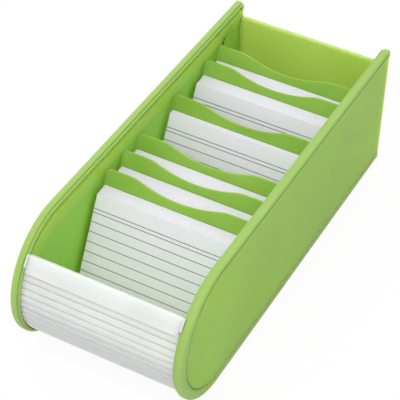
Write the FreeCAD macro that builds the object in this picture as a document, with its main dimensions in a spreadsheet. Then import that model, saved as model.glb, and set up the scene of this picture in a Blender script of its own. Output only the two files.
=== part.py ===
import FreeCAD, Part
import math
import os
import Sketcher

# A flashcard box: two side walls with a roll-up shutter running in grooves round their
# rims, a tray between them, six leaning dividers and six packs of ruled cards.
# X runs across the box, Y from the front to the back, Z up from the table.

doc = FreeCAD.newDocument("flashcard_box")
sheet = doc.addObject("Spreadsheet::Sheet", "Sizes")

# Driving dimensions in millimetres and degrees
driving = {
    "cardWidth": 74.0,
    "cardHeight": 52.0,
    "cardSideSpace": 2.3,
    "cardShift": 0.6,
    "cardLean": 26.0,
    "cardStep": 0.4,
    "restGap": 0.2,
    "leanGap": 0.3,
    "boxLength": 216.0,
    "headRoom": 3.0,
    "wallThick": 4.7,
    "rimWidth": 3.5,
    "rimDepth": 1.5,
    "rimStep": 1.0,
    "rimRound": 0.6,
    "grooveWidth": 3.0,
    "grooveDepth": 2.6,
    "grooveStop": 2.5,
    "railWidth": 6.5,
    "fieldDepth": 0.4,
    "outerRound": 1.2,
    "panelTop": 1.4,
    "panelFront": 4.5,
    "panelFoot": 4.6,
    "seamWidth": 0.7,
    "seamDepth": 0.7,
    "seatDepth": 1.2,
    "catchLength": 9.5,
    "catchDrop": 4.5,
    "catchSlit": 0.8,
    "catchInset": 12.5,
    "catchDepth": 3.0,
    "floorThick": 2.5,
    "floorGap": 1.0,
    "backThick": 2.5,
    "backDrop": 8.0,
    "lipRound": 0.8,
    "apronAngle": 4.0,
    "slatPitch": 3.6,
    "slatThick": 1.8,
    "slatGap": 0.35,
    "slatBevel": 0.7,
    "slatCrown": 0.45,
    "webThick": 0.6,
    "slatEndClear": 0.5,
    "passingSlats": 6.0,
    "barOpenAngle": 47.5,
    "barHeight": 9.1,
    "barSideClear": 0.4,
    "barWing": 1.1,
    "barWingDrop": 2.4,
    "barLipClear": 0.15,
    "barProud": 1.8,
    "barCrease": 0.6,
    "barRound": 1.0,
    "tailClear": 0.8,
    "dividerThick": 1.2,
    "dividerRise": 8.0,
    "dividerSideClear": 0.5,
    "dividerDip": 4.0,
    "dipRadius": 70.0,
    "dipBlend": 25.0,
    "shoulderRound": 2.5,
    "slotDepth": 1.5,
    "slotClear": 0.3,
}
# The bays from the front of the box: the free floor before each pack, and its thickness
baySpaces = [7.2, 3.0, 2.2, 30.6, 23.0, 2.2]
packDepths = [7.1, 10.6, 10.6, 2.6, 7.8, 10.4]
bays = range(1, 1 + len(packDepths))
for bay in bays:
    driving["baySpace%d" % bay] = baySpaces[bay - 1]
    driving["packDepth%d" % bay] = packDepths[bay - 1]

# Sizes that follow from the driving ones
derived = {
    "innerX": "cardWidth / 2 + cardSideSpace",
    "outerX": "innerX + wallThick",
    "floorBottom": "rimDepth + grooveWidth + floorGap",
    "floorLevel": "floorBottom + floorThick",
    "dividerHeight": "cardHeight + dividerRise",
    "boxHeight": "floorLevel + dividerHeight + headRoom",
    "backHeight": "boxHeight - backDrop",
    "rearY": "boxLength / 2",
    "archRadius": "boxHeight / 2",
    "archY": "archRadius - boxLength / 2",
    "grooveRadius": "archRadius - rimDepth - grooveWidth / 2",
    "fieldInset": "rimDepth + grooveWidth + railWidth",
    "pitchAngle": "slatPitch / grooveRadius * 180 / pi",
    "barAngle": "barHeight / grooveRadius * 180 / pi",
    "archSlats": "floor((barOpenAngle + 90 - barAngle) / pitchAngle)",
    "barMiddle": "archSlats * pitchAngle + barAngle / 2 - 90",
    "slatX": "innerX + grooveDepth - slatEndClear",
    "panelRadius": "(boxHeight - panelTop - panelFoot) / 2",
    "panelY": "panelFront + panelRadius - boxLength / 2",
    "barX": "innerX - barSideClear",
    "slatWidth": "slatPitch - slatGap",
    "tailStart": "archY + passingSlats * slatPitch",
    "tailSlats": "floor((rearY - backThick - tailClear - tailStart) / slatPitch)",
    "leanRun": "dividerThick / cos(cardLean * 1deg)",
    "slotRun": "slotDepth * tan(cardLean * 1deg)",
}


def fillSheet():
    row = 0
    for name, value in driving.items():
        row += 1
        sheet.set("A%d" % row, name)
        sheet.set("B%d" % row, repr(value))
        sheet.setAlias("B%d" % row, name)
    for name, formula in derived.items():
        row += 1
        sheet.set("A%d" % row, name)
        sheet.set("B%d" % row, "=" + formula)
        sheet.setAlias("B%d" % row, name)
    doc.recompute()


fillSheet()
names = set(driving) | set(derived)


def linked(formula):
    """The formula with every size name turned into a link to the sheet."""
    out = ""
    word = ""
    for letter in str(formula) + " ":
        if letter.isalnum():
            word += letter
            continue
        out += ("Sizes." + word if word in names else word) + letter
        word = ""
    return out.strip()


def value(formula):
    """The formula's present value as a plain number."""
    result = sheet.evalExpression(linked(formula).replace("Sizes.", ""))
    return float(getattr(result, "Value", result))


def bind(thing, prop, formula):
    thing.setExpression(prop, linked(formula))


def newBody(label):
    body = doc.addObject("PartDesign::Body", label)
    body.Label = label
    return body


def originPart(body, role):
    return [item for item in body.Origin.OriginFeatures if item.Role == role][0]


def newSketch(body, role, name, offset="0"):
    """A sketch on one of the body's own origin planes, moved along the plane's normal."""
    sketch = body.newObject("Sketcher::SketchObject", name)
    sketch.AttachmentSupport = (originPart(body, role), [""])
    sketch.MapMode = "FlatFace"
    sketch.AttachmentOffset.Base = FreeCAD.Vector(0, 0, value(offset))
    bind(sketch, "AttachmentOffset.Base.z", offset)
    return sketch


def hold(sketch, first, firstPoint, second, secondPoint, axis, formula):
    """One coordinate of a sketch point, tied to a formula."""
    rule = Sketcher.Constraint("Distance" + axis, first, firstPoint, second, secondPoint, value(formula))
    index = sketch.addConstraint(rule)
    bind(sketch, "Constraints[%d]" % index, formula)


def closedProfile(sketch, corners):
    """A closed outline. Each corner is (x, y), or (x, y, cx, cy, turn) where an arc about
    (cx, cy) leads to it from the corner before: turn is 1 anticlockwise and -1 clockwise."""
    points = [FreeCAD.Vector(value(c[0]), value(c[1]), 0) for c in corners]
    count = len(corners)
    ends = []
    for i, corner in enumerate(corners):
        start = points[i - 1]
        finish = points[i]
        if len(corner) == 2:
            edge = sketch.addGeometry(Part.LineSegment(start, finish), False)
            ends.append((edge, 1, 2))
            continue
        centre = FreeCAD.Vector(value(corner[2]), value(corner[3]), 0)
        a = math.atan2(start.y - centre.y, start.x - centre.x)
        b = math.atan2(finish.y - centre.y, finish.x - centre.x)
        if corner[4] < 0:
            a, b = b, a
        circle = Part.Circle(centre, FreeCAD.Vector(0, 0, 1), (start - centre).Length)
        edge = sketch.addGeometry(Part.ArcOfCircle(circle, a, b), False)
        ends.append((edge, 1, 2) if corner[4] > 0 else (edge, 2, 1))
    for i in range(count):
        edge, _, last = ends[i]
        following, first, _ = ends[(i + 1) % count]
        sketch.addConstraint(Sketcher.Constraint("Coincident", edge, last, following, first))
    for i, corner in enumerate(corners):
        edge, _, last = ends[i]
        if len(corner) == 2:
            hold(sketch, -1, 1, edge, last, "X", corner[0])
            hold(sketch, -1, 1, edge, last, "Y", corner[1])
            continue
        hold(sketch, -1, 1, edge, 3, "X", corner[2])
        hold(sketch, -1, 1, edge, 3, "Y", corner[3])
        reach = points[i] - FreeCAD.Vector(value(corner[2]), value(corner[3]), 0)
        if abs(reach.y) > abs(reach.x):
            hold(sketch, -1, 1, edge, last, "X", corner[0])
        else:
            hold(sketch, -1, 1, edge, last, "Y", corner[1])
    return sketch


def pad(body, sketch, length, name, midplane=False, reverse=False):
    feature = body.newObject("PartDesign::Pad", name)
    feature.Profile = sketch
    feature.Midplane = midplane
    feature.Reversed = reverse
    bind(feature, "Length", length)
    sketch.Visibility = False
    return feature


def pocket(body, sketch, length, name, midplane=False, reverse=False):
    """A pocket whose volume is compared, so that one that misses the solid is noticed."""
    doc.recompute()
    before = body.Tip.Shape.Volume
    feature = body.newObject("PartDesign::Pocket", name)
    feature.Profile = sketch
    feature.Midplane = midplane
    feature.Reversed = reverse
    bind(feature, "Length", length)
    doc.recompute()
    if not feature.Shape.Volume < before - 0.01:
        raise RuntimeError(name + " cuts nothing")
    return feature


def fillet(body, radius, name, chosen):
    """Round the edges of the body's tip that the test chosen(edge) picks."""
    doc.recompute()
    base = body.Tip
    picked = []
    for i, edge in enumerate(base.Shape.Edges):
        if chosen(edge):
            picked.append("Edge%d" % (i + 1))
    feature = body.newObject("PartDesign::Fillet", name)
    feature.Base = (base, picked)
    bind(feature, "Radius", radius)
    return feature


def near(a, b):
    return abs(a - b) < 1e-3


# Side walls

def stadium(foot, top, centreY, centreZ):
    """A side outline: straight at the back, with a half circle at the front."""
    return [
        ("rearY", foot),
        ("rearY", top),
        (centreY, top),
        (centreY, foot, centreY, centreZ, 1),
    ]


def band(foot, top, centreY, centreZ, outer, inner, topRear="rearY"):
    """The strip between two insets of a side outline. Its lower run is open at the back, and its
    upper run ends at topRear."""
    return [
        ("rearY", "%s + %s" % (foot, outer)),
        ("rearY", "%s + %s" % (foot, inner)),
        (centreY, "%s + %s" % (foot, inner)),
        (centreY, "%s - (%s)" % (top, inner), centreY, centreZ, -1),
        (topRear, "%s - (%s)" % (top, inner)),
        (topRear, "%s - (%s)" % (top, outer)),
        (centreY, "%s - (%s)" % (top, outer)),
        (centreY, "%s + %s" % (foot, outer), centreY, centreZ, 1),
    ]


rimShape = ("0", "boxHeight", "archY", "archRadius")
panelShape = ("panelFoot", "boxHeight - panelTop", "panelY", "panelFoot + panelRadius")


def block(y0, y1, z0, z1):
    return [(y1, z0), (y1, z1), (y0, z1), (y0, z0)]


def makeSideWall(label, side):
    """One side wall: a seamed panel outside. Inside it are a stepped rim, the shutter groove over
    a rail round a shallow field, seats for the tray and the shutter's rear catch."""
    body = newBody(label)
    sign = "" if side > 0 else "-1 * "
    inner = sign + "innerX"
    outward = side < 0

    def cut(name, corners, depth, plane=inner, fromOutside=False):
        sketch = newSketch(body, "YZ_Plane", label + "_" + name + "_sketch", plane)
        closedProfile(sketch, corners)
        return pocket(body, sketch, depth, label + "_" + name, reverse=(side > 0) != fromOutside)

    outline = newSketch(body, "YZ_Plane", label + "_outline", inner)
    closedProfile(outline, stadium(*rimShape))
    pad(body, outline, "wallThick", label + "_plate", reverse=outward)
    cut("rim_step", band(*rimShape, "0", "rimStep"), "wallThick - rimWidth")
    grooveEdges = ("rimDepth", "rimDepth + grooveWidth")
    cut("groove", band(*rimShape, *grooveEdges, "rearY - grooveStop"), "grooveDepth")
    field = stadium("fieldInset", "boxHeight - fieldInset", "archY", "archRadius")
    cut("field", field, "fieldDepth")
    cut("seam", band(*panelShape, "0", "seamWidth"), "seamDepth", sign + "outerX", True)
    cut("floor_seat", block("archY", "rearY", "floorBottom", "floorLevel"), "seatDepth")
    cut("back_seat", block("rearY - backThick", "rearY", "floorLevel", "backHeight"), "seatDepth")
    catchTop = "boxHeight - rimDepth - grooveWidth - catchDrop"
    catchRear = "rearY - catchInset"
    cut("catch_slit", block("%s - catchLength" % catchRear, "%s - catchLength + catchSlit" % catchRear,
                            "%s - catchDrop" % catchTop, catchTop), "catchDepth")
    cut("catch_line", block("%s - catchLength + catchSlit" % catchRear, catchRear,
                            "%s - catchSlit" % catchTop, catchTop), "catchDepth")

    archRadius = value("archRadius")
    archY = value("archY")

    def onOutline(edge, x):
        middle = edge.valueAt((edge.FirstParameter + edge.LastParameter) / 2)
        if not (near(edge.BoundBox.XLength, 0) and near(middle.x, side * value(x))):
            return False
        if middle.y > archY:
            return near(middle.z, 0) or near(middle.z, 2 * archRadius)
        return near(math.hypot(middle.y - archY, middle.z - archRadius), archRadius)

    fillet(body, "rimRound", label + "_rim_round", lambda edge: onOutline(edge, "outerX - rimWidth"))
    fillet(body, "outerRound", label + "_outer_round", lambda edge: onOutline(edge, "outerX"))
    return body


# Tray

def makeTray():
    """Floor, back and the curved apron behind the shutter, in one moulding."""
    body = newBody("tray")
    outer = "archRadius - floorBottom"
    inner = "archRadius - floorLevel"

    def tip(radius):
        forward = "(%s) * cos(apronAngle * 1deg)" % radius
        up = "(%s) * sin(apronAngle * 1deg)" % radius
        return ("archY - " + forward, "archRadius + " + up)

    outerTip = tip(outer)
    innerTip = tip(inner)
    profile = newSketch(body, "YZ_Plane", "tray_profile")
    closedProfile(profile, [
        ("rearY", "floorBottom"),
        ("rearY", "backHeight"),
        ("rearY - backThick", "backHeight"),
        ("rearY - backThick", "floorLevel"),
        ("archY", "floorLevel"),
        innerTip + ("archY", "archRadius", -1),
        outerTip,
        ("archY", "floorBottom", "archY", "archRadius", 1),
    ])
    pad(body, profile, "2 * innerX", "tray_shell", midplane=True)
    seat = newSketch(body, "YZ_Plane", "tray_tongue_profile")
    closedProfile(seat, [
        ("rearY", "floorBottom"),
        ("rearY", "backHeight"),
        ("rearY - backThick", "backHeight"),
        ("rearY - backThick", "floorLevel"),
        ("archY", "floorLevel"),
        ("archY", "floorBottom"),
    ])
    pad(body, seat, "2 * (innerX + seatDepth)", "tray_tongues", midplane=True)
    for i in bays:
        slot = newSketch(body, "YZ_Plane", "divider_slot_%d_profile" % i)
        front = "%s - slotClear - slotRun" % dividerFront(i)
        rear = "%s + leanRun + slotClear" % dividerFront(i)
        closedProfile(slot, block(front, rear, "floorLevel - slotDepth", "floorLevel"))
        pocket(body, slot, "2 * innerX", "divider_slot_%d" % i, midplane=True)

    lips = [outerTip, innerTip, ("rearY", "backHeight"), ("rearY - backThick", "backHeight")]
    lipPoints = [(value(y), value(z)) for y, z in lips]

    def onLip(edge):
        box = edge.BoundBox
        if not (near(box.YLength, 0) and near(box.ZLength, 0)):
            return False
        return any(near(box.YMin, y) and near(box.ZMin, z) for y, z in lipPoints)

    fillet(body, "lipRound", "tray_lips", onLip)
    return body


def packFront(i):
    """The foot of pack i's front face, behind all that stands before it."""
    run = "archY + baySpace1"
    for k in range(1, i):
        run += " + packDepth%d + leanGap + leanRun + baySpace%d" % (k, k + 1)
    return run


def dividerFront(i):
    """Where divider i's front face meets the floor, behind pack i."""
    return "%s + packDepth%d + leanGap" % (packFront(i), i)


# Shutter

def slatOutline():
    """A slat's section about the groove's centre line: bevelled outside, flat inside."""
    inside = "slatThick / 2 - grooveRadius"
    outside = "-slatThick / 2 - grooveRadius"
    half = "slatWidth / 2"
    return [
        (inside, "-" + half),
        (inside, half),
        ("%s + slatCrown" % outside, half),
        (outside, "%s - slatBevel" % half),
        (outside, "slatBevel - %s" % half),
        ("%s + slatCrown" % outside, "-" + half),
    ]


def addSlat(body, label):
    """One slat in front of the body's origin; its ends run in the walls' grooves."""
    section = newSketch(body, "YZ_Plane", label + "_section")
    closedProfile(section, slatOutline())
    return pad(body, section, "2 * slatX", label + "_slat", midplane=True)


def placeOnArch(body, angle):
    """Set the body's origin on the arch's axis, its front turned up by angle."""
    body.Placement.Rotation = FreeCAD.Rotation(FreeCAD.Vector(1, 0, 0), -value(angle))
    bind(body, "Placement.Base.y", "archY")
    bind(body, "Placement.Base.z", "archRadius")
    bind(body, "Placement.Rotation.Angle", "-1deg * (%s)" % angle)


def makeFrontCurtain():
    """The part of the shutter on the arch: slats on a thin bending web."""
    body = newBody("shutter_front")
    slat = addSlat(body, "shutter_front")
    doc.recompute()
    pattern = body.newObject("PartDesign::PolarPattern", "shutter_front_slats")
    pattern.Originals = [slat]
    pattern.Axis = (originPart(body, "X_Axis"), [""])
    pattern.Reversed = True
    bind(pattern, "Angle", "(archSlats - 1) * pitchAngle * 1deg")
    bind(pattern, "Occurrences", "archSlats")
    body.Tip = pattern
    low = "slatGap / 2 / slatPitch * pitchAngle - pitchAngle / 2"
    high = "(archSlats - 0.5) * pitchAngle - slatGap / 2 / slatPitch * pitchAngle"
    outer = "grooveRadius + webThick / 2"
    inner = "grooveRadius - webThick / 2"

    def polar(radius, angle):
        return ("-(%s) * cos((%s) * 1deg)" % (radius, angle), "(%s) * sin((%s) * 1deg)" % (radius, angle))

    web = newSketch(body, "YZ_Plane", "shutter_front_web_section")
    closedProfile(web, [
        polar(outer, low),
        polar(outer, high) + ("0", "0", -1),
        polar(inner, high),
        polar(inner, low) + ("0", "0", 1),
    ])
    pad(body, web, "2 * slatX", "shutter_front_web", midplane=True)
    placeOnArch(body, "pitchAngle / 2 - 90")
    return body


def placeUnderFloor(body, distance):
    """Set the body flat below the floor, its middle this far behind the arch's foot."""
    body.Placement.Rotation = FreeCAD.Rotation(FreeCAD.Vector(1, 0, 0), 90)
    bind(body, "Placement.Base.y", "archY + (%s)" % distance)
    bind(body, "Placement.Base.z", "archRadius")


def makePassingSlat(i):
    """A slat that leaves the straight run for the arch as the shutter closes."""
    label = "shutter_slat_%d" % i
    body = newBody(label)
    addSlat(body, label)
    placeUnderFloor(body, "%g * slatPitch" % (i - 0.5))
    return body


def makeTail():
    """The stored end of the shutter, flat below the floor."""
    body = newBody("shutter_tail")
    slat = addSlat(body, "shutter_tail")
    doc.recompute()
    pattern = body.newObject("PartDesign::LinearPattern", "shutter_tail_slats")
    pattern.Originals = [slat]
    pattern.Direction = (originPart(body, "Z_Axis"), [""])
    pattern.Reversed = True
    bind(pattern, "Length", "(tailSlats - 1) * slatPitch")
    bind(pattern, "Occurrences", "tailSlats")
    body.Tip = pattern
    web = newSketch(body, "YZ_Plane", "shutter_tail_web_section")
    closedProfile(web, [
        ("webThick / 2 - grooveRadius", "slatWidth / 2"),
        ("-webThick / 2 - grooveRadius", "slatWidth / 2"),
        ("-webThick / 2 - grooveRadius", "slatWidth / 2 - tailSlats * slatPitch + slatGap"),
        ("webThick / 2 - grooveRadius", "slatWidth / 2 - tailSlats * slatPitch + slatGap"),
    ])
    pad(body, web, "2 * slatX", "shutter_tail_web", midplane=True)
    placeUnderFloor(body, "(passingSlats + 0.5) * slatPitch")
    return body


def makeBar():
    """The pull bar: a slat thickened outside into two facets, with a rounded top edge and
    thin wings that pass over the lips of the walls' grooves."""
    body = newBody("pull_bar")
    half = "(barHeight - slatGap) / 2"
    inside = "slatThick / 2 - grooveRadius"
    proud = "-slatThick / 2 - grooveRadius - barProud"
    section = newSketch(body, "YZ_Plane", "pull_bar_section")
    closedProfile(section, [
        (inside, "-" + half),
        (inside, half),
        ("-slatThick / 2 - grooveRadius", half),
        ("-slatThick / 2 - grooveRadius", "-" + half),
    ])
    pad(body, section, "2 * slatX", "pull_bar_core", midplane=True)
    face = newSketch(body, "YZ_Plane", "pull_bar_face_section")
    closedProfile(face, [
        ("-grooveRadius", "-" + half),
        ("-grooveRadius", half),
        (proud, half),
        (proud, "0"),
        ("%s + barCrease" % proud, "-" + half),
    ])
    pad(body, face, "2 * barX", "pull_bar_face", midplane=True)
    wingFoot = "barWingDrop - " + half
    wingInside = "rimStep - archRadius - barLipClear"
    wings = newSketch(body, "YZ_Plane", "pull_bar_wing_section")
    closedProfile(wings, [
        (wingInside, wingFoot),
        (wingInside, half),
        (proud, half),
        (proud, "0"),
        ("%s - barCrease * (%s) / (%s)" % (proud, wingFoot, half), wingFoot),
    ])
    pad(body, wings, "2 * (barX + barWing)", "pull_bar_wings", midplane=True)

    proudY = value(proud)
    topZ = value(half)

    def topEdge(edge):
        box = edge.BoundBox
        return near(box.YMin, proudY) and near(box.YMax, proudY) and near(box.ZMin, topZ)

    fillet(body, "barRound", "pull_bar_round", topEdge)
    placeOnArch(body, "barMiddle")
    return body


# Contents

def makeDivider(i):
    """A leaning card divider with level shoulders and a shallow dip between them."""
    label = "divider_%d" % i
    body = newBody(label)
    halfWidth = "innerX - dividerSideClear"
    plate = newSketch(body, "XZ_Plane", label + "_outline")
    top = "dividerHeight"
    foot = "(restGap + dividerThick * sin(cardLean * 1deg) - slotDepth) / cos(cardLean * 1deg)"
    closedProfile(plate, [
        (halfWidth, foot),
        (halfWidth, top),
        ("-(%s)" % halfWidth, top),
        ("-(%s)" % halfWidth, foot),
    ])
    pad(body, plate, "dividerThick", label + "_plate", reverse=True)
    dip = newSketch(body, "XZ_Plane", label + "_dip_outline")
    dipHalf = "sqrt(dipRadius ^ 2 - (dipRadius - dividerDip) ^ 2)"
    closedProfile(dip, [
        ("-" + dipHalf, top),
        (dipHalf, top, "0", "dividerHeight - dividerDip + dipRadius", 1),
    ])
    pocket(body, dip, "dividerThick", label + "_dip")

    shoulderZ = value(top)
    dipX = value(dipHalf)
    sideX = value(halfWidth)

    def acrossTop(edge, x):
        box = edge.BoundBox
        level = near(box.ZMin, shoulderZ) and near(box.ZMax, shoulderZ)
        return level and near(abs(box.XMin), x) and near(box.XLength, 0)

    fillet(body, "dipBlend", label + "_dip_blend", lambda edge: acrossTop(edge, dipX))
    fillet(body, "shoulderRound", label + "_shoulders", lambda edge: acrossTop(edge, sideX))
    body.Placement.Rotation = FreeCAD.Rotation(FreeCAD.Vector(1, 0, 0), -value("cardLean"))
    bind(body, "Placement.Rotation.Angle", "-1deg * cardLean")
    standOnFloor(body, dividerFront(i))
    return body


def standOnFloor(body, foot):
    bind(body, "Placement.Base.y", foot)
    bind(body, "Placement.Base.z", "floorLevel")


def makePack(i):
    """A pack of ruled cards: every card leans the same way and stands on the floor."""
    label = "card_pack_%d" % i
    body = newBody(label)
    depth = "packDepth%d" % i
    run = "cardHeight * sin(cardLean * 1deg)"
    rise = "restGap + cardHeight * cos(cardLean * 1deg)"
    lowRun = "(cardHeight - cardStep) * sin(cardLean * 1deg)"
    lowRise = "restGap + (cardHeight - cardStep) * cos(cardLean * 1deg)"
    section = newSketch(body, "YZ_Plane", label + "_section")
    closedProfile(section, [
        (depth, "restGap"),
        ("%s + %s" % (depth, run), rise),
        ("2 * %s / 3 + %s" % (depth, run), rise),
        ("2 * %s / 3 + %s" % (depth, lowRun), lowRise),
        ("%s / 3 + %s" % (depth, lowRun), lowRise),
        ("%s / 3 + %s" % (depth, run), rise),
        (run, rise),
        ("0", "restGap"),
    ])
    pad(body, section, "cardWidth", label + "_cards", midplane=True)
    standOnFloor(body, packFront(i))
    bind(body, "Placement.Base.x", "-1 * cardShift")
    return body


parts = [makeSideWall("side_wall_right", 1), makeSideWall("side_wall_left", -1), makeTray()]
parts += [makeBar(), makeFrontCurtain()]
parts += [makePassingSlat(i) for i in range(1, 1 + int(value("passingSlats")))]
parts.append(makeTail())
for bay in bays:
    parts += [makeDivider(bay), makePack(bay)]
doc.recompute()

# Every object and shape is sound before anything is written
for item in doc.Objects:
    if "Invalid" in item.State or "Error" in item.State:
        raise RuntimeError("%s failed: %s" % (item.Label, item.State))
for part in parts:
    if part.Shape.isNull() or not part.Shape.isValid() or not part.Shape.Solids:
        raise RuntimeError(part.Label + " has no sound solid")

os.makedirs("parts", exist_ok=True)
for part in parts:
    part.Shape.exportStep(os.path.join("parts", part.Label + ".step"))
print(len(parts), "parts written")
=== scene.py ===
import math
import bpy
import numpy as np
from mathutils import Euler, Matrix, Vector


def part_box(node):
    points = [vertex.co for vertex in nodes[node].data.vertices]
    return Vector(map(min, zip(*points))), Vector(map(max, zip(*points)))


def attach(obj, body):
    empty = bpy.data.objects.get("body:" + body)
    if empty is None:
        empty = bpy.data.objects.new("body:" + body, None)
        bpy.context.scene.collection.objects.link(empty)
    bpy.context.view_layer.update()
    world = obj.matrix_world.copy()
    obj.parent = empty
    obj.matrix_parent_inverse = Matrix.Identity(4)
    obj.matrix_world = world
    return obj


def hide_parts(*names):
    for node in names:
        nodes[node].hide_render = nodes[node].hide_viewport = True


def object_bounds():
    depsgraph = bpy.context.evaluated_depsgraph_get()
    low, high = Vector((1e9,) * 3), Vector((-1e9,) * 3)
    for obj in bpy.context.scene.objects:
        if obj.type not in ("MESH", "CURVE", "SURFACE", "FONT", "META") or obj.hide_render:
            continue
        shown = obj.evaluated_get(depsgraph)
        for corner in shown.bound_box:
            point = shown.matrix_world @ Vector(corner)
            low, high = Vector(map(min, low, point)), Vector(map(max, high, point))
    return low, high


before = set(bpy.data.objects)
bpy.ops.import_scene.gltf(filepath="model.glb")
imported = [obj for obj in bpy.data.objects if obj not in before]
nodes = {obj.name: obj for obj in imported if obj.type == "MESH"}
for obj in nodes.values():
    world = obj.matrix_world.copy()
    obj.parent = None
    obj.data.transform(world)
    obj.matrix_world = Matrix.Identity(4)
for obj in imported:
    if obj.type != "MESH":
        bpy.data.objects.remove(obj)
cadBox = [list(corner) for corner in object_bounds()]
mm = 0.001
boxFront = cadBox[0][1] / mm
boxHeight = (cadBox[1][2] - cadBox[0][2]) / mm
noiseLow, noiseHigh = 0.3, 0.7         # nearly all of a noise texture's values lie between these
colourA, colourB, mixed = 6, 7, 2      # a Mix node's two colour inputs and its colour output


def linearColour(hexValue):
    # sRGB hex to linear, fully opaque
    parts = [int(hexValue[i:i + 2], 16) / 255 for i in (1, 3, 5)]
    return [c / 12.92 if c <= 0.04045 else ((c + 0.055) / 1.055) ** 2.4 for c in parts] + [1.0]


def addNode(tree, kind, settings, inputs):
    # settings are the node's own properties; an input is a value, a socket or a node's first output
    node = tree.nodes.new(kind)
    for key, value in settings.items():
        setattr(node, key, value)
    for key, value in inputs.items():
        if isinstance(value, bpy.types.Node):
            value = value.outputs[0]
        if isinstance(value, bpy.types.NodeSocket):
            tree.links.new(value, node.inputs[key])
        else:
            node.inputs[key].default_value = value
    return node


def newMaterial(name):
    material = bpy.data.materials.new(name)
    material.use_nodes = True
    tree = material.node_tree
    tree.nodes.clear()
    return material, tree


def paint(piece, material):
    piece.data.materials.clear()
    piece.data.materials.append(material)


def newPiece(name, points, faces, material):
    # points in millimetres; a face lists the numbers of its points
    mesh = bpy.data.meshes.new(name)
    mesh.from_pydata((points * mm).tolist(), [], faces)
    piece = bpy.data.objects.new(name, mesh)
    bpy.context.collection.objects.link(piece)
    paint(piece, material)
    return piece


trayLook = dict(
    pale="#97BD5C", deep="#8CB450",   # drift of the pigment over the moulding
    cloudSize=34.0, grainSize=0.55,   # mm: flow clouds, and the mould's spark-eroded grain
    grainHeight=0.05, grainStrength=0.2,
    roughLow=0.42, roughHigh=0.54, shine=0.5, ior=1.33,
    glow=0.9, glowDepth=15.0, spread=(1.0, 0.9, 0.6),   # light carried inside the wall, mm
    glowCut=0.8,   # share of the glow cut on thin parts, on the rim's painted light and on the slit's painted shade
)
wallLook = dict(
    trayLook, glow=1.0, pale="#93BA46", deep="#88B13C",
    radius=boxHeight / 2, centreY=boxFront + boxHeight / 2,   # mm: the outline's round front
    insideX=42.0,   # mm from the middle: all that lies nearer is the wall's inner face
    innerLit="#94C555",   # painted light: the shaded inside is given a brighter, cooler green than the outside
    rim="#92B458", railLit="#A4CB58",   # painted light, piped along the rim and in the thin wall behind the groove
    rimEdge=(3.6, 0.5), railEdge=(11.3, 2.4),   # mm in from the outline, and how softly each ends
    seam="#6F9F2C", seamWidth=0.7, seamSpill=0.05,   # shade in the line round the outer panel, mm
    panelRadius=32.5, panelY=-71.0, panelZ=37.1,     # mm: the panel's own round front
    catch="#1C2F10",   # the rear catch's slit in shade, with its middle and half size on each axis, mm
    catchSpan=(("X", 0.0, 43.6), ("Y", 86.2, 0.75), ("Z", 59.3, 1.9)),
)
dividerLook = dict(trayLook, pale="#8FB74C", deep="#83AD40", cloudSize=26.0, glow=0.6, glowDepth=3.0)
shutterLook = dict(
    trayLook, pale="#D6D7D6", deep="#D0D2D0", cloudSize=18.0, grainSize=0.5, roughLow=0.34, roughHigh=0.46,
    shine=0.4, glow=1.0, glowDepth=8.0, spread=(1.0, 1.0, 1.0), ior=1.49,
    wingX=38.95,   # mm from the middle: the bar's thin wings start here
)


def stadiumReach(tree, place, centreY, centreZ):
    # Distance in mm from the middle line of a wall's outline, round in front and straight behind:
    # the length of (the lesser of y - centreY and 0, z - centreZ). The cap of 1 m on x and z is never
    # reached, and x is left out after it.
    shifted = addNode(tree, "ShaderNodeVectorMath", {"operation": "SUBTRACT"},
                      {0: place, 1: (0, centreY * mm, centreZ * mm)})
    ahead = addNode(tree, "ShaderNodeVectorMath", {"operation": "MINIMUM"}, {0: shifted, 1: (1, 0, 1)})
    side = addNode(tree, "ShaderNodeVectorMath", {"operation": "MULTIPLY"},
                   {0: ahead, 1: (0, 1 / mm, 1 / mm)})
    return addNode(tree, "ShaderNodeVectorMath", {"operation": "LENGTH"}, {0: side}).outputs["Value"]


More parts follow.
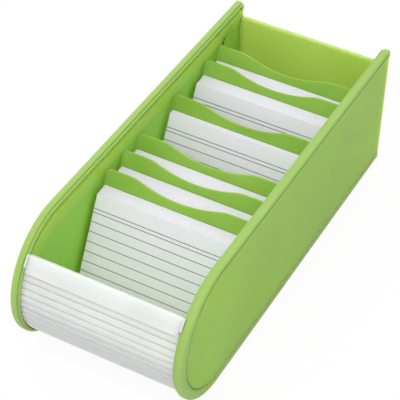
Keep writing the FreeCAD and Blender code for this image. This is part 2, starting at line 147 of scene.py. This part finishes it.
def edgeLight(tree, place, body, look):
    # How far a point lies in from the wall's outline picks its colour: painted light on the rim, the rail
    # and the inner face, and painted shade in the catch's slit. Outside, only the rim and the painted
    # shade in the seam round the panel differ. Returns the colour and where the glow is cut back, on the
    # rim and the catch's slit, so these colours show.
    axes = addNode(tree, "ShaderNodeSeparateXYZ", {}, {0: place}).outputs
    aside = addNode(tree, "ShaderNodeMath", {"operation": "ABSOLUTE"}, {0: axes["X"]})
    inside = addNode(tree, "ShaderNodeMath", {"operation": "LESS_THAN"},
                     {0: aside, 1: look["insideX"] * mm})

    reach = stadiumReach(tree, place, look["centreY"], look["radius"])
    inset = addNode(tree, "ShaderNodeMath", {"operation": "SUBTRACT"}, {0: look["radius"], 1: reach})
    onRim, nearRail = (
        addNode(tree, "ShaderNodeMapRange", {"interpolation_type": "SMOOTHSTEP"}, {
            "Value": inset, "From Min": edge - soft, "From Max": edge + soft, "To Min": 1.0, "To Max": 0.0})
        for edge, soft in (look["rimEdge"], look["railEdge"]))
    onRail = addNode(tree, "ShaderNodeMath", {"operation": "MULTIPLY"}, {0: nearRail, 1: inside})

    panel = stadiumReach(tree, place, look["panelY"], look["panelZ"])
    half = look["seamWidth"] / 2
    fromSeam = addNode(tree, "ShaderNodeMath", {"operation": "SUBTRACT"},
                       {0: panel, 1: look["panelRadius"] - half})
    offSeam = addNode(tree, "ShaderNodeMath", {"operation": "ABSOLUTE"}, {0: fromSeam})
    nearSeam = addNode(tree, "ShaderNodeMath", {"operation": "LESS_THAN"},
                       {0: offSeam, 1: half + look["seamSpill"]})
    onSeam = addNode(tree, "ShaderNodeMath", {"operation": "SUBTRACT", "use_clamp": True},
                     {0: nearSeam, 1: inside})

    inCatch = 1.0
    for axis, middle, reachOut in look["catchSpan"]:
        off = addNode(tree, "ShaderNodeMath", {"operation": "SUBTRACT"}, {0: axes[axis], 1: middle * mm})
        distance = addNode(tree, "ShaderNodeMath", {"operation": "ABSOLUTE"}, {0: off})
        near = addNode(tree, "ShaderNodeMath", {"operation": "LESS_THAN"}, {0: distance, 1: reachOut * mm})
        inCatch = addNode(tree, "ShaderNodeMath", {"operation": "MULTIPLY"}, {0: near, 1: inCatch})

    colour = body
    places = {"innerLit": inside, "railLit": onRail, "rim": onRim, "seam": onSeam, "catch": inCatch}
    for name, share in places.items():   # each lies over those before it
        colour = addNode(tree, "ShaderNodeMix", {"data_type": "RGBA"},
                         {"Factor": share, colourA: colour, colourB: linearColour(look[name])})
        colour = colour.outputs[mixed]
    return colour, addNode(tree, "ShaderNodeMath", {"operation": "MAXIMUM"}, {0: onRim, 1: inCatch})


def mouldedPolypropylene(name, look):
    # Injection-moulded polypropylene, lightly pigmented: a soft satin gloss over a fine spark-eroded
    # grain, and light that travels inside the wall, so edges and thin walls look warmer; on the side walls
    # the lighter edges are also painted light.
    material, tree = newMaterial(name)
    place = addNode(tree, "ShaderNodeTexCoord", {}, {}).outputs["Object"]
    cloud = addNode(tree, "ShaderNodeTexNoise", {}, {
        "Vector": place, "Scale": 1 / (look["cloudSize"] * mm), "Detail": 3.0, "Roughness": 0.45})
    grain = addNode(tree, "ShaderNodeTexNoise", {}, {
        "Vector": place, "Scale": 1 / (look["grainSize"] * mm), "Detail": 2.0, "Roughness": 0.55})
    drift = addNode(tree, "ShaderNodeMapRange", {}, {
        "Value": cloud, "From Min": noiseLow, "From Max": noiseHigh})
    colour = addNode(tree, "ShaderNodeMix", {"data_type": "RGBA"}, {
        "Factor": drift, colourA: linearColour(look["deep"]), colourB: linearColour(look["pale"])})
    colour = colour.outputs[mixed]
    rough = addNode(tree, "ShaderNodeMapRange", {}, {
        "Value": drift, "To Min": look["roughLow"], "To Max": look["roughHigh"]})
    glowCut = None
    if "rim" in look:
        colour, glowCut = edgeLight(tree, place, colour, look)
    if "wingX" in look:   # a wing is too thin to carry light
        axes = addNode(tree, "ShaderNodeSeparateXYZ", {}, {0: place}).outputs
        aside = addNode(tree, "ShaderNodeMath", {"operation": "ABSOLUTE"}, {0: axes["X"]})
        glowCut = addNode(tree, "ShaderNodeMath", {"operation": "GREATER_THAN"},
                         {0: aside, 1: look["wingX"] * mm})
    glow = look["glow"]
    if glowCut is not None:
        glow = addNode(tree, "ShaderNodeMath", {"operation": "MULTIPLY_ADD"},
                       {0: glowCut, 1: -look["glowCut"] * glow, 2: glow})
    bump = addNode(tree, "ShaderNodeBump", {}, {
        "Height": grain, "Strength": look["grainStrength"], "Distance": look["grainHeight"] * mm})
    shader = addNode(tree, "ShaderNodeBsdfPrincipled", {}, {
        "Base Color": colour, "Roughness": rough, "IOR": look["ior"], "Specular IOR Level": look["shine"],
        "Normal": bump, "Subsurface Weight": glow,
        "Subsurface Radius": look["spread"], "Subsurface Scale": look["glowDepth"] * mm})
    addNode(tree, "ShaderNodeOutputMaterial", {}, {"Surface": shader})
    return material


wallPlastic = mouldedPolypropylene("injection_moulded_green_polypropylene", wallLook)
trayPlastic = mouldedPolypropylene("translucent_green_polypropylene", trayLook)
dividerPlastic = mouldedPolypropylene("die_cut_green_polypropylene_sheet", dividerLook)
shutterPlastic = mouldedPolypropylene("extruded_white_polypropylene", shutterLook)
plastics = {"side_wall": wallPlastic, "tray": trayPlastic, "divider": dividerPlastic,
            "shutter": shutterPlastic, "pull_bar": shutterPlastic}
for name, piece in nodes.items():
    for start, plastic in plastics.items():
        if name.startswith(start):
            paint(piece, plastic)
print("plastics on the body, dividers and shutter")


beadLook = dict(
    wall=39.75, back=105.55, foot=8.0, top=62.2,   # mm: the corner between side wall and tray's back
    alongWall=0.45, alongBack=0.65,
    plastic=dict(trayLook, pale="#C4E864", deep="#BBE25C", glow=0.1, glowDepth=1.0),   # painted light: far paler than the tray, to lift the shaded corner
)


def cornerBead(name, side, material, look):
    # A thin prism of weld up the corner, which closes the line of shade between tray and wall: three
    # points, along the wall, in the corner and along the back, are carried from foot to top.
    along = np.array([[0, -look["alongWall"]], [0, 0], [-look["alongBack"], 0]])
    outline = (along + [look["wall"], look["back"]]) * [side, 1]
    heights = np.repeat([look["foot"], look["top"]], len(outline))
    faces = [(0, 2, 1), (3, 4, 5), (0, 1, 4, 3), (1, 2, 5, 4), (2, 0, 3, 5)]
    faces = [face[::side] for face in faces]   # the left bead is a mirror image, so its faces turn round
    piece = newPiece(name, np.column_stack([np.tile(outline, (2, 1)), heights]), faces, material)
    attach(piece, "box")


beadPlastic = mouldedPolypropylene("welded_green_polypropylene", beadLook["plastic"])
cornerBead("weld_bead_right", 1, beadPlastic, beadLook)
cornerBead("weld_bead_left", -1, beadPlastic, beadLook)
print("weld beads in the rear corners")


cardLook = dict(
    width=74.0, height=52.0, lean=26.0, thick=0.25, air=0.03,   # mm and degrees
    slip=0.22, sideRoom=0.2, drop=0.30,   # mm: how far a card stands out of line sideways, and in height
    headerRules=(7.4, 9.3), firstRule=14.0, ruleGap=5.0,   # mm down from the card's top edge
    ruleWidth=0.36, ruleSoft=0.2, inkCover=0.9,
    # painted light: the face is made whiter towards the card's foot, lifting the shade low in the pack
    paperTop="#EBE9F0", paperLow="#F7F5F7", edge="#D6D5DA", ink="#1A2452",
    mottleSize=1.4, mottleDark=0.94, mottleHeight=0.03, mottleStrength=0.08,
    noPrint=-2.0,   # the ruling map's height on a cut edge, which carries no print
    rough=0.78, ior=1.48, glow=0.08, glowDepth=0.3, spread=(1.0, 1.0, 1.0),
    seed=40,
)


def ruledCard(look):
    # Offset-printed index card, uncoated 200 g stock: matt, very slightly mottled white with fine
    # slate-blue rules; the ruling map holds millimetres across the card and down from its top edge.
    material, tree = newMaterial("uncoated_ruled_card_stock")
    place = addNode(tree, "ShaderNodeUVMap", {"uv_map": "ruling"}, {})
    down = addNode(tree, "ShaderNodeSeparateXYZ", {}, {0: place}).outputs["Y"]

    # distance to the nearest rule: the ruled grid, off above its first rule, and the two header rules
    step = look["ruleGap"]
    fromFirst = addNode(tree, "ShaderNodeMath", {"operation": "SUBTRACT"}, {0: down, 1: look["firstRule"]})
    onGrid = addNode(tree, "ShaderNodeMath", {"operation": "WRAP"},
                     {0: fromFirst, 1: step / 2, 2: -step / 2})
    toGrid = addNode(tree, "ShaderNodeMath", {"operation": "ABSOLUTE"}, {0: onGrid})
    above = addNode(tree, "ShaderNodeMath", {"operation": "LESS_THAN"}, {0: fromFirst, 1: -step / 2})
    nearest = addNode(tree, "ShaderNodeMath", {"operation": "MULTIPLY_ADD"}, {0: above, 1: step, 2: toGrid})
    for rule in look["headerRules"]:
        fromRule = addNode(tree, "ShaderNodeMath", {"operation": "SUBTRACT"}, {0: down, 1: rule})
        toRule = addNode(tree, "ShaderNodeMath", {"operation": "ABSOLUTE"}, {0: fromRule})
        nearest = addNode(tree, "ShaderNodeMath", {"operation": "MINIMUM"}, {0: nearest, 1: toRule})
    half = look["ruleWidth"] / 2
    inked = addNode(tree, "ShaderNodeMapRange", {}, {
        "Value": nearest, "To Min": look["inkCover"], "To Max": 0.0,
        "From Min": half * (1 - look["ruleSoft"]), "From Max": half * (1 + look["ruleSoft"])})

    mottle = addNode(tree, "ShaderNodeTexNoise", {}, {
        "Vector": addNode(tree, "ShaderNodeTexCoord", {}, {}).outputs["Object"],
        "Scale": 1 / (look["mottleSize"] * mm), "Detail": 4.0, "Roughness": 0.6})
    tone = addNode(tree, "ShaderNodeMapRange", {}, {
        "Value": mottle, "From Min": noiseLow, "From Max": noiseHigh, "To Min": look["mottleDark"]})
    # painted light: the paper whitens from the top edge down to the foot
    paintedLightDown = addNode(tree, "ShaderNodeMapRange", {}, {"Value": down, "From Max": look["height"]})
    onEdge = addNode(tree, "ShaderNodeMath", {"operation": "LESS_THAN"}, {0: down, 1: look["noPrint"] / 2})
    face = addNode(tree, "ShaderNodeMix", {"data_type": "RGBA"}, {
        "Factor": paintedLightDown, colourA: linearColour(look["paperTop"]), colourB: linearColour(look["paperLow"])})
    white = addNode(tree, "ShaderNodeMix", {"data_type": "RGBA"}, {
        "Factor": onEdge, colourA: face.outputs[mixed], colourB: linearColour(look["edge"])})
    paper = addNode(tree, "ShaderNodeMix", {"data_type": "RGBA", "blend_type": "MULTIPLY"}, {
        "Factor": 1.0, colourA: white.outputs[mixed], colourB: tone})
    printed = addNode(tree, "ShaderNodeMix", {"data_type": "RGBA"}, {
        "Factor": inked, colourA: paper.outputs[mixed], colourB: linearColour(look["ink"])})
    bump = addNode(tree, "ShaderNodeBump", {}, {
        "Height": mottle, "Strength": look["mottleStrength"], "Distance": look["mottleHeight"] * mm})
    shader = addNode(tree, "ShaderNodeBsdfPrincipled", {}, {
        "Base Color": printed.outputs[mixed], "Roughness": look["rough"], "IOR": look["ior"],
        "Normal": bump, "Subsurface Weight": look["glow"],
        "Subsurface Radius": look["spread"], "Subsurface Scale": look["glowDepth"] * mm})
    addNode(tree, "ShaderNodeOutputMaterial", {}, {"Surface": shader})
    return material


def cardStack(name, node, material, seed, look):
    # Cards side by side between the node's front and rear faces, each a thin leaning box: across is x,
    # up runs along the leaning plane, and through is the level run from the card's front to its rear.
    low, high = (np.array(corner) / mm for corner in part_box(node))
    lean = math.radians(look["lean"])
    depth = (high[1] - low[1]) - look["height"] * math.sin(lean)   # the pack's horizontal thickness
    count = int(depth / ((look["thick"] + look["air"]) / math.cos(lean)))
    front = np.arange(count) * (depth / count) + low[1]

    random = np.random.default_rng(seed)
    slip = random.uniform(-look["slip"], look["slip"], count)
    drop = random.uniform(0.0, look["drop"], count)
    slip[0] = drop[0] = slip[-1] = drop[-1] = 0.0   # the outer cards fill the pack's own outline
    slip = np.clip(slip, -look["sideRoom"], look["sideRoom"])
    tall = (look["height"] - drop)[:, None]

    across = np.array([-1, 1, 1, -1, -1, 1, 1, -1]) * look["width"] / 2
    up = np.array([0, 0, 1, 1, 0, 0, 1, 1])
    through = np.array([0, 0, 0, 0, 1, 1, 1, 1]) * look["thick"] / math.cos(lean)
    x = (low[0] + high[0]) / 2 + across + slip[:, None]
    y = front[:, None] + through + up * tall * math.sin(lean)
    z = low[2] + up * tall * math.cos(lean)
    sides = np.array([
        [0, 1, 2, 3], [5, 4, 7, 6], [3, 2, 6, 7], [1, 0, 4, 5], [4, 0, 3, 7], [1, 5, 6, 2]])
    faces = (sides + np.arange(count)[:, None, None] * len(up)).reshape(-1, 4)
    piece = newPiece(name, np.stack([x, y, z], axis=-1).reshape(-1, 3), faces.tolist(), material)

    ruling = np.zeros((count, *sides.shape, 2))
    ruling[..., 1] = look["noPrint"]
    for side in (0, 1):   # the card's front and rear are printed
        ruling[:, side, :, 0] = across[sides[side]] + look["width"] / 2
        ruling[:, side, :, 1] = tall * (1 - up[sides[side]])
    piece.data.uv_layers.new(name="ruling").data.foreach_set("uv", ruling.reshape(-1))
    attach(piece, node)
    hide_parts(node)


cardStock = ruledCard(cardLook)
packs = sorted(name for name in nodes if name.startswith("card_pack"))
for bay, pack in enumerate(packs, 1):
    cardStack("ruled_cards_%d" % bay, pack, cardStock, cardLook["seed"] + bay, cardLook)
print("cards in six packs")


stageLook = dict(
    size=6000.0, drop=0.05,   # mm: the sweep's side, and how far it lies under the box
    sweep="#E8E8E8", shadowShare=0.07, white="#FFFFFF",
    room="#F8F9FA", roomPower=0.8,   # what lights the object from all round
)


def seenDirectly(tree):
    # 1 for a ray from the camera or by way of gloss or clear plastic, which meets plain white, else 0
    rays = addNode(tree, "ShaderNodeLightPath", {}, {}).outputs
    seen = rays["Is Camera Ray"]
    for ray in ("Is Glossy Ray", "Is Transmission Ray"):
        seen = addNode(tree, "ShaderNodeMath", {"operation": "MAXIMUM"}, {0: seen, 1: rays[ray]}).outputs[0]
    return seen


sweepPaper, tree = newMaterial("matt_white_sweep")   # seamless paper: no gloss, and a trace of the shadow
share = addNode(tree, "ShaderNodeMath", {"operation": "MULTIPLY"},
                {0: seenDirectly(tree), 1: 1 - stageLook["shadowShare"]})
matt = addNode(tree, "ShaderNodeBsdfDiffuse", {}, {"Color": linearColour(stageLook["sweep"])})
bright = addNode(tree, "ShaderNodeEmission", {},
                 {"Color": linearColour(stageLook["white"]), "Strength": 1.0})
surface = addNode(tree, "ShaderNodeMixShader", {}, {"Fac": share, 1: matt, 2: bright})
addNode(tree, "ShaderNodeOutputMaterial", {}, {"Surface": surface})
corners = np.array([(-1, -1, 0), (1, -1, 0), (1, 1, 0), (-1, 1, 0)]) * stageLook["size"] / 2
floor = newPiece("floor", corners - (0, 0, stageLook["drop"]), [(0, 1, 2, 3)], sweepPaper)

world = bpy.data.worlds.new("studio")
bpy.context.scene.world = world
world.use_nodes = True
tree = world.node_tree
tree.nodes.clear()
room = addNode(tree, "ShaderNodeBackground", {},
               {"Color": linearColour(stageLook["room"]), "Strength": stageLook["roomPower"]})
white = addNode(tree, "ShaderNodeBackground", {},
                {"Color": linearColour(stageLook["white"]), "Strength": 1.0})
both = addNode(tree, "ShaderNodeMixShader", {}, {"Fac": seenDirectly(tree), 1: room, 2: white})
addNode(tree, "ShaderNodeOutputWorld", {}, {"Surface": both})

lampLook = dict(   # places and sizes in metres, power in watts
    aim=(0, 0, 0.03),
    boxes=(dict(name="rear_softbox", place=(-0.45, 0.7, 0.8), size=1.2, power=4.0),
           dict(name="front_softbox", place=(0.1, -0.6, 1.0), size=0.7, power=7.0)),
)
for lamp in lampLook["boxes"]:
    light = bpy.data.lights.new(lamp["name"], "AREA")
    light.shape = "SQUARE"
    light.size = lamp["size"]
    light.energy = lamp["power"]
    holder = bpy.data.objects.new(lamp["name"], light)
    holder.location = lamp["place"]
    toBox = Vector(lampLook["aim"]) - holder.location
    holder.rotation_euler = toBox.to_track_quat("-Z", "Y").to_euler()
    bpy.context.collection.objects.link(holder)

cameraLook = dict(   # mm and degrees
    place=(254.961, -495.667, 540.288), turn=(47.74585, -1.04556, 28.69353), lens=139.73, sensor=36.0)
camera = bpy.data.cameras.new("camera")
camera.lens = cameraLook["lens"]
camera.sensor_width = cameraLook["sensor"]
cameraObject = bpy.data.objects.new("camera", camera)
cameraObject.location = Vector(cameraLook["place"]) * mm
cameraObject.rotation_euler = Euler([math.radians(angle) for angle in cameraLook["turn"]], "XYZ")
bpy.context.collection.objects.link(cameraObject)
bpy.context.scene.camera = cameraObject
bpy.context.scene.view_settings.view_transform = "Standard"
print("floor, light and camera")
